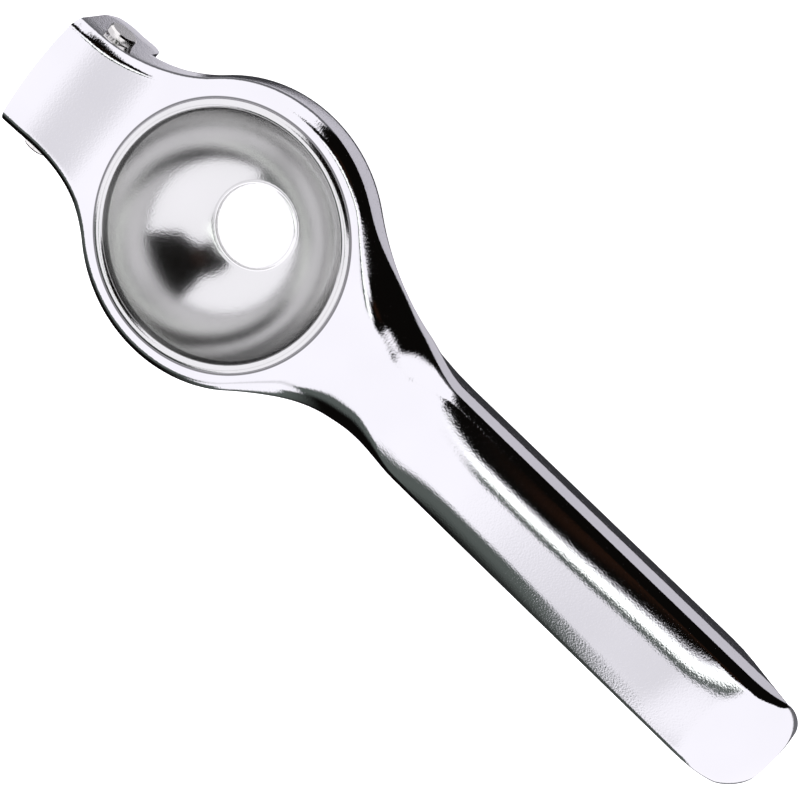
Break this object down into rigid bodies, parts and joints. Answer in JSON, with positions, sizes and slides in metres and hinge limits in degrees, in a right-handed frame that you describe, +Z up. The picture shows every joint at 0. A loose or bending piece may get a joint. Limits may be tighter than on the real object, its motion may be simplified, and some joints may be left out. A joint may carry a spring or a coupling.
{
  "type": "hinged hand citrus squeezer",
  "caption": "Hinged hand citrus squeezer in polished sheet metal: channel-section arms, a domed press cup in the upper ring and a perforated strainer cup in the lower ring.",
  "frame": {"origin": "centre of the strainer cup's flat foot, on the axis of the two rings", "axes": "+X from the hinge to the handle, +Z up through the open mouth of the press cup, +Y across the handle along the rivet"},
  "size_m": [0.2104, 0.0662, 0.0414],
  "materials": {
    "polished_arm": "polished",
    "polished_cup": "polished",
    "rivet_steel": "satin"
  },
  "bodies": {
    "lower": {"lower_arm": "polished_arm", "strainer_cup": "polished_cup", "hinge_rivet": "rivet_steel"},
    "upper": {"upper_arm": "polished_arm", "press_cup": "polished_cup"}
  },
  "joints": [
    {"name": "hinge", "type": "hinge", "parent": "lower", "child": "upper", "pos_m": [-0.045, 0, 0.03001], "axis": [0, -1, 0], "range_deg": [0, 120]}
  ]
}
